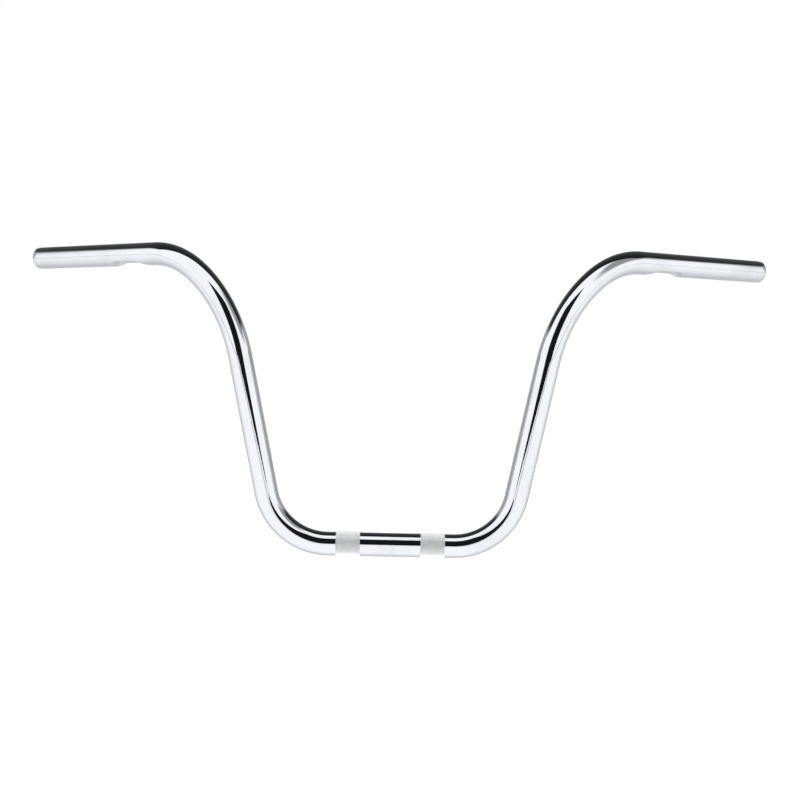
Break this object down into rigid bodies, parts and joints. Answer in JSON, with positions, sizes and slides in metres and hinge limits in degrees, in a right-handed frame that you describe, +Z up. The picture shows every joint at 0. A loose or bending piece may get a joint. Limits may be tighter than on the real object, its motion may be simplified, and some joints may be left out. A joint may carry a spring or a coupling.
{
  "type": "motorcycle handlebar",
  "caption": "High-rise motorcycle handlebar: a bent, chrome-plated tube with tall risers, swept-back grips, open ends and knurled clamp bands.",
  "frame": {"origin": "on the tube's axis in the middle of the clamp section, halfway between the two knurled bands", "axes": "+X along the clamp section to the rider's left, +Y back to the rider, +Z up"},
  "size_m": [0.852, 0.2059, 0.3307],
  "materials": {
    "chrome_plate": "bright chrome plate over polished steel tube",
    "knurled_chrome": "satin chrome plate over a diamond knurl"
  },
  "bodies": {
    "root": {"bar_tube": "chrome_plate", "left_knurled_band": "knurled_chrome", "right_knurled_band": "knurled_chrome"}
  },
  "joints": []
}
